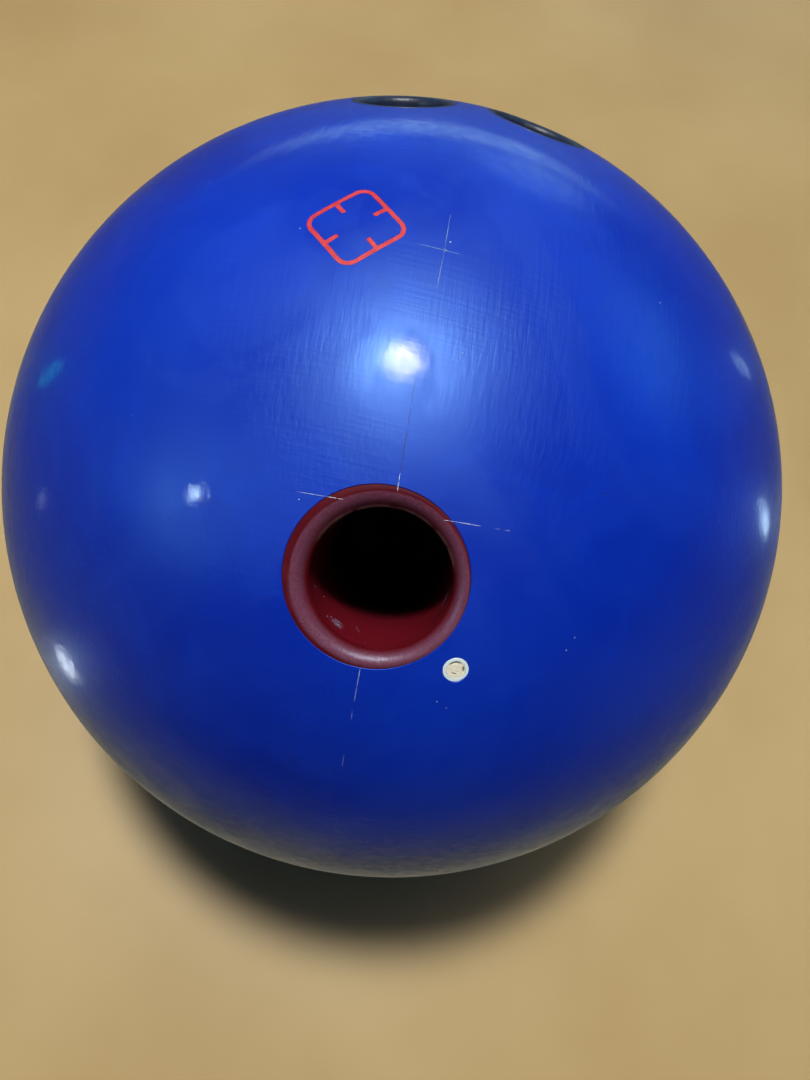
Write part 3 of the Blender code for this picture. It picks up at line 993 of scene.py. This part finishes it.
def slug_material():
    """Cast maroon: glossy where it is flush, sanded to satin on the lip, and turned in the bore, whose
    colour darkens to near black deeper down as painted shade; a pale line on the bore's upper edge is
    partly wear and partly a painted highlight.
    """
    m = Shading("maroon_thumb_slug")
    sanded, wear_and_painted_light, deep = (m.attribute(name) for name in ("sanded", "wear_and_painted_light", "deep"))
    turn = [math.degrees(a) for a in THUMB_FRAME.to_euler()]
    tone = m.noise(120.0, 4.0, 0.6)
    maroon = m.mix(
        m.range(tone, 0.3, 0.7), rgb(0.080, 0.0022, 0.0050), rgb(0.108, 0.0040, 0.0085)
    )
    dust = m.noise(2300.0, 2.0, 0.6)
    powder = m.mix(
        m.range(dust, 0.3, 0.75), rgb(0.135, 0.036, 0.070), rgb(0.185, 0.066, 0.124)
    )
    colour = m.mix(m.range(deep, 0.035, 0.06), maroon, rgb(0.165, 0.0058, 0.0150))
    colour = m.mix(m.math("MULTIPLY", sanded, 0.75), colour, powder)
    # painted shade: deeper down the bore the colour darkens to near black
    colour = m.mix(
        m.range(deep, 0.22, 0.8, 0.0, 0.85), colour, rgb(0.016, 0.0012, 0.0030)
    )
    edge = m.range(m.noise(500.0, 3.0, 0.6), 0.3, 0.55)
    # pale line on the bore's upper edge: partly wear, partly a painted highlight
    colour = m.mix(m.math("MULTIPLY", wear_and_painted_light, edge), colour, rgb(0.50, 0.36, 0.30))
    rings = m.noise(1.0, 3.0, 0.6, place=m.stretched((30.0, 30.0, 1500.0), turn))
    roughness = m.mix(
        sanded, m.range(rings, 0.3, 0.7, 0.26, 0.40), m.range(dust, 0.3, 0.7, 0.34, 0.46)
    )
    roughness = m.math("ADD", roughness, m.range(deep, 0.35, 0.8, 0.0, 0.5))
    m.set(base_color=colour, roughness=roughness)
    m.shader.inputs["IOR"].default_value = 1.55
    m.shader.inputs["Specular Tint"].default_value = rgb(0.68, 0.76, 1.0)
    grit = m.math("MULTIPLY", dust, sanded)
    turned = m.math("MULTIPLY", rings, m.range(deep, 0.02, 0.06, 0.0, 0.5))
    m.bump(m.math("ADD", grit, turned), 0.05 * MM)
    return m.material


def insert_material():
    m = Shading("navy_vinyl_insert")
    tone = m.noise(160.0, 3.0)
    grain = m.cells(1900.0, "SMOOTH_F1")
    wear = m.noise(420.0, 5.0, 0.7)
    navy = m.mix(
        m.range(tone, 0.3, 0.7), rgb(0.010, 0.015, 0.040), rgb(0.018, 0.026, 0.062)
    )
    navy = m.mix(m.range(wear, 0.55, 0.75, 0.0, 0.35), navy, rgb(0.05, 0.07, 0.12))
    m.set(base_color=navy, roughness=m.range(wear, 0.3, 0.7, 0.34, 0.52))
    m.bump(grain, 0.05 * MM, 0.7)
    return m.material


def resin_material(name, first, second, roughness, coat=0.0):
    """Cast resin with a mottled tone and a finely pitted surface."""
    m = Shading(name)
    mottle = m.noise(150.0, 5.0, 0.6, 0.4)
    pits = m.cells(900.0)
    colour = m.mix(m.range(mottle, 0.3, 0.7), rgb(*first), rgb(*second))
    dark = m.range(pits, 0.04, 0.16, 1.0, 0.0)
    colour = m.mix(
        m.math("MULTIPLY", dark, 0.4), colour, rgb(*(0.45 * c for c in first))
    )
    m.set(
        base_color=colour,
        roughness=m.range(mottle, 0.3, 0.7, roughness - 0.06, roughness + 0.08),
    )
    m.shader.inputs["Coat Weight"].default_value = coat
    m.shader.inputs["Coat Roughness"].default_value = 0.1
    m.bump(m.math("ADD", pits, mottle), 0.03 * MM)
    return m.material


def plug_material():
    """Cream resin, painted dark in its chipped places: partly dirt, partly painted shade."""
    m = Shading("cream_pin_resin")
    tone = m.noise(1300.0, 3.0, 0.6)
    cream = m.mix(
        m.range(tone, 0.3, 0.7), rgb(0.84, 0.79, 0.60), rgb(0.96, 0.93, 0.78)
    )
    dirt_and_shade = m.attribute("dirt_and_shade")
    grime_and_shade = m.mix(m.range(tone, 0.35, 0.6), rgb(0.05, 0.04, 0.03), rgb(0.16, 0.13, 0.09))
    # dark in the chipped places: partly dirt, partly painted shade
    colour = m.mix(m.math("MULTIPLY", dirt_and_shade, 0.9), cream, grime_and_shade)
    m.set(base_color=colour, roughness=m.range(tone, 0.3, 0.7, 0.38, 0.5))
    m.bump(tone, 0.03 * MM)
    return m.material


def mark_material():
    m = Shading("red_marking_fill")
    tone = m.noise(700.0, 4.0, 0.6)
    wear = m.noise(2400.0, 3.0, 0.6)
    red = m.mix(
        m.range(tone, 0.3, 0.7), rgb(0.50, 0.022, 0.034), rgb(0.62, 0.050, 0.060)
    )
    red = m.mix(m.range(wear, 0.60, 0.75, 0.0, 0.5), red, rgb(0.72, 0.20, 0.22))
    m.set(base_color=red, roughness=m.range(wear, 0.3, 0.7, 0.35, 0.5))
    m.bump(wear, 0.012 * MM)
    return m.material


# ---------------------------------------------------------------- floor, lights and camera


def make_floor():
    """A plain pale floor that fades into the backdrop. The ball mirrors the world's brown, not it."""
    bm = bmesh.new()
    bmesh.ops.create_grid(bm, x_segments=24, y_segments=24, size=FLOOR_SIZE / 2)
    floor = new_object("floor", mesh_from("floor", bm))
    floor.location.z = FLOOR_LEVEL - 0.1 * MM
    m = Shading("pale_floor")
    tone = m.noise(7.0, 4.0, 0.55)
    fine = m.noise(900.0, 3.0, 0.6)
    colour = m.mix(m.range(tone, 0.3, 0.7), rgb(*FLOOR_TONES[0]), rgb(*FLOOR_TONES[1]))
    out = m.add("ShaderNodeVectorMath", operation="LENGTH")
    m.link(m.place, out.inputs[0])
    faded = m.range(out.outputs["Value"], *FLOOR_FADE)
    satin = m.range(tone, 0.3, 0.7, 0.38, 0.46)
    m.set(
        base_color=m.mix(faded, colour, rgb(0.0, 0.0, 0.0)),
        roughness=m.math("ADD", satin, m.math("MULTIPLY", faded, 0.5)),
        emission_strength=faded,
    )
    m.bump(fine, 0.04 * MM, 0.4)
    m.shader.inputs["Emission Color"].default_value = BACKDROP
    m.material.cycles.emission_sampling = "NONE"
    floor.data.materials.append(m.material)
    floor.visible_glossy = False


def lamp(name, direction, distance, size, power, colour, soft):
    """An area light that faces the ball and fades out over the `soft` share of its size."""
    light = bpy.data.lights.new(name, "AREA")
    light.shape = "RECTANGLE"
    light.size, light.size_y = size
    light.energy = power
    light.color = colour
    light.use_nodes = True
    tree = light.node_tree
    emission = tree.nodes["Emission"]
    centred = tree.nodes.new("ShaderNodeVectorMath")
    centred.operation = "SUBTRACT"
    centred.inputs[1].default_value = (0.5, 0.5, 0.0)
    geometry = tree.nodes.new("ShaderNodeNewGeometry")
    tree.links.new(geometry.outputs["Parametric"], centred.inputs[0])
    away = tree.nodes.new("ShaderNodeVectorMath")
    away.operation = "LENGTH"
    tree.links.new(centred.outputs["Vector"], away.inputs[0])
    fade = tree.nodes.new("ShaderNodeMapRange")
    fade.interpolation_type = "SMOOTHSTEP"
    tree.links.new(away.outputs["Value"], fade.inputs["Value"])
    numbers = (0.5 * (1 - soft), 0.5, 1.0, 0.0)
    for key, number in zip(("From Min", "From Max", "To Min", "To Max"), numbers):
        fade.inputs[key].default_value = number
    tree.links.new(fade.outputs["Result"], emission.inputs["Strength"])
    obj = bpy.data.objects.new(name, light)
    bpy.context.scene.collection.objects.link(obj)
    out = Vector(direction).normalized()
    up = Vector((0.0, 1.0, 0.0)) if abs(out.z) > 0.9 else Vector((0.0, 0.0, 1.0))
    side = up.cross(out).normalized()
    turn = Matrix((side, out.cross(side), out)).transposed().to_4x4()
    obj.matrix_world = Matrix.Translation(out * distance) @ turn
    obj.visible_camera = False
    return obj


def bearing(azimuth, elevation):
    """Direction from degrees round from +Y towards +X, and degrees above the floor."""
    around, up = math.radians(azimuth), math.radians(elevation)
    return (
        math.sin(around) * math.cos(up),
        math.cos(around) * math.cos(up),
        math.sin(up),
    )


def make_lights():
    """One overhead lamp and a soft fill light the scene, and the others only show in its gloss.

    Each is given by name, direction, metres away, size, watts, colour and softness.
    """
    lamp("overhead_lamp", bearing(-28.8, 81.4), 1.15, (0.26, 0.26), 48.0, (1.0, 0.98, 0.92), 0.9)
    fill = lamp("fill", bearing(10, 72), 2.6, (2.6, 2.6), 46.0, (1.0, 0.93, 0.84), 0.9)
    fill.visible_glossy = False
    mirrored = (
        ("ceiling", bearing(10, 72), 2.6, (2.6, 2.6), 42.0, (0.25, 0.92, 1.0), 0.9),
        ("small_lamp", (-0.735, -0.407, 0.519), 0.98, (0.045, 0.06), 5.0, (0.6, 0.86, 1.0), 0.9),
        ("left_window", bearing(-75, 25), 2.2, (1.5, 0.9), 2.4, (0.25, 0.80, 1.0), 0.7),
        ("right_window", bearing(54, 26), 2.2, (1.8, 1.3), 8.0, (0.28, 0.82, 1.0), 0.7),
        ("far_panel", bearing(-6, 2), 2.4, (3.2, 0.5), 11.0, (0.50, 0.84, 1.0), 0.7),
        ("far_window", bearing(12, 13), 2.4, (1.1, 0.8), 4.0, (0.45, 0.80, 1.0), 0.6),
        ("strip_right", (0.96, 0.22, -0.13), 0.27, (0.030, 0.066), 0.030, (0.55, 0.80, 1.0), 0.7),
        ("strip_right_far", (0.83, 0.55, 0.08), 0.27, (0.022, 0.060), 0.009, (0.5, 0.8, 1.0), 0.7),
        ("strip_left", (-0.78, -0.55, -0.31), 0.21, (0.030, 0.030), 0.024, (0.80, 0.90, 1.0), 0.7),
        ("strip_left_far", (-0.99, 0.15, 0.0), 0.28, (0.022, 0.060), 0.010, (0.0, 0.6, 0.7), 0.6),
        ("strip_left_mid", (-0.98, -0.21, -0.06), 0.28, (0.022, 0.030), 0.003, (0.6, 0.75, 1.0), 0.6),
    )
    for entry in mirrored:
        lamp(*entry).visible_diffuse = False


def make_flag():
    """Dark card that the camera doesn't see, where the person who holds it would stand."""
    bm = bmesh.new()
    bmesh.ops.create_grid(bm, x_segments=8, y_segments=8, size=0.5)
    flag = new_object("dark_flag", mesh_from("dark_flag", bm))
    flag.matrix_world = (
        Matrix.Translation(FLAG_PLACE)
        @ Matrix.Rotation(math.radians(90), 4, "X")
        @ Matrix.Diagonal((*FLAG_SIZE, 1.0, 1.0))
    )
    m = Shading("dark_flag")
    tone = m.noise(9.0, 3.0)
    colour = m.mix(tone, rgb(0.010, 0.011, 0.014), rgb(0.020, 0.021, 0.026))
    m.set(base_color=colour, roughness=m.range(tone, 0.3, 0.7, 0.85, 0.95))
    flag.data.materials.append(m.material)
    flag.visible_camera = False
    flag.visible_shadow = False


def make_world():
    """Dim soft light, brighter at the horizon than overhead, and brown below it for the ball to mirror."""
    world = bpy.data.worlds.new("soft_room")
    bpy.context.scene.world = world
    world.use_nodes = True
    tree = world.node_tree
    tree.nodes.clear()
    add, link = tree.nodes.new, tree.links.new
    output = add("ShaderNodeOutputWorld")
    split = add("ShaderNodeSeparateXYZ")
    link(add("ShaderNodeTexCoord").outputs["Generated"], split.inputs["Vector"])
    height = add("ShaderNodeMapRange")
    link(split.outputs["Z"], height.inputs["Value"])
    height.inputs["From Min"].default_value = -1.0
    tones = add("ShaderNodeValToRGB")
    link(height.outputs["Result"], tones.inputs["Fac"])
    stops = tones.color_ramp.elements
    stops[0].position = 0.10
    stops[0].color = rgb(0.22, 0.20, 0.14)
    stops[1].position = 0.95
    stops[1].color = rgb(0.005, 0.022, 0.055)
    for position, colour in (
        (0.27, rgb(0.085, 0.080, 0.055)),
        (0.47, rgb(0.085, 0.080, 0.055)),
        (0.51, rgb(0.025, 0.060, 0.10)),
    ):
        stops.new(position).color = colour
    seen = add("ShaderNodeBackground")
    seen.inputs["Color"].default_value = BACKDROP
    lit = add("ShaderNodeBackground")
    link(tones.outputs["Color"], lit.inputs["Color"])
    choose = add("ShaderNodeMixShader")
    link(add("ShaderNodeLightPath").outputs["Is Camera Ray"], choose.inputs[0])
    link(lit.outputs[0], choose.inputs[1])
    link(seen.outputs[0], choose.inputs[2])
    link(choose.outputs[0], output.inputs["Surface"])


def make_camera():
    data = bpy.data.cameras.new("photo_angle")
    data.sensor_width = 36.0
    data.lens = CAMERA_LENS
    data.clip_start = 0.01
    camera = bpy.data.objects.new("photo_angle", data)
    bpy.context.scene.collection.objects.link(camera)
    forward = Vector(CAMERA_FORWARD).normalized()
    right = Vector(CAMERA_RIGHT)
    right = (right - right.dot(forward) * forward).normalized()
    turn = Matrix((right, right.cross(forward), -forward)).transposed().to_4x4()
    camera.matrix_world = Matrix.Translation(CAMERA_PLACE) @ turn
    bpy.context.scene.camera = camera


# ---------------------------------------------------------------- everything together

make_cover(cover_material())
make_slug(slug_material())
vinyl = insert_material()
make_insert("middle_insert_fine", "middle_finger_insert", MIDDLE_FRAME, vinyl)
make_insert("ring_insert_fine", "ring_finger_insert", RING_FRAME, vinyl)
make_pins(
    resin_material("pin_resin", (0.70, 0.58, 0.30), (0.80, 0.70, 0.42), 0.32, coat=1.0),
    resin_material("white_pin_resin", (0.74, 0.90, 0.94), (0.82, 0.95, 0.98), 0.35),
    plug_material(),
)
make_mark(mark_material())
pale = scribe_material("scribed_pale", (0.42, 0.50, 0.64), (0.10, 0.19, 0.46))
# scribed_dark is near black: painted shade of the grooved stretch of the centre line
dark = scribe_material("scribed_dark", (0.002, 0.010, 0.10), (0.001, 0.004, 0.05))
blue_dust = scribe_material("scraped_dust", (0.30, 0.34, 0.52), (0.14, 0.12, 0.24))
faint = scribe_material("scribed_faint", (0.15, 0.26, 0.42), (0.03, 0.09, 0.30))
make_scribes(pale, faint, dark)
make_scrape(blue_dust)

SEALED = {
    "filler_core": ("cast_filler", (0.30, 0.29, 0.26), (0.40, 0.39, 0.35), 0.75),
    "weight_block_bulb": (
        "dense_core_resin",
        (0.36, 0.08, 0.035),
        (0.46, 0.12, 0.055),
        0.6,
    ),
    "flip_block_left": (
        "heavy_flip_block",
        (0.042, 0.042, 0.047),
        (0.066, 0.066, 0.070),
        0.6,
    ),
}
SEALED["weight_block_cap"] = SEALED["weight_block_bulb"]
SEALED["flip_block_right"] = SEALED["flip_block_left"]
materials = {}
for node, (name, first, second, roughness) in SEALED.items():
    if name not in materials:
        materials[name] = resin_material(name, first, second, roughness)
    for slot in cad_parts[node].material_slots:
        slot.material = materials[name]

make_floor()
make_flag()
make_lights()
make_world()
make_camera()
bpy.context.scene.view_settings.view_transform = "Standard"
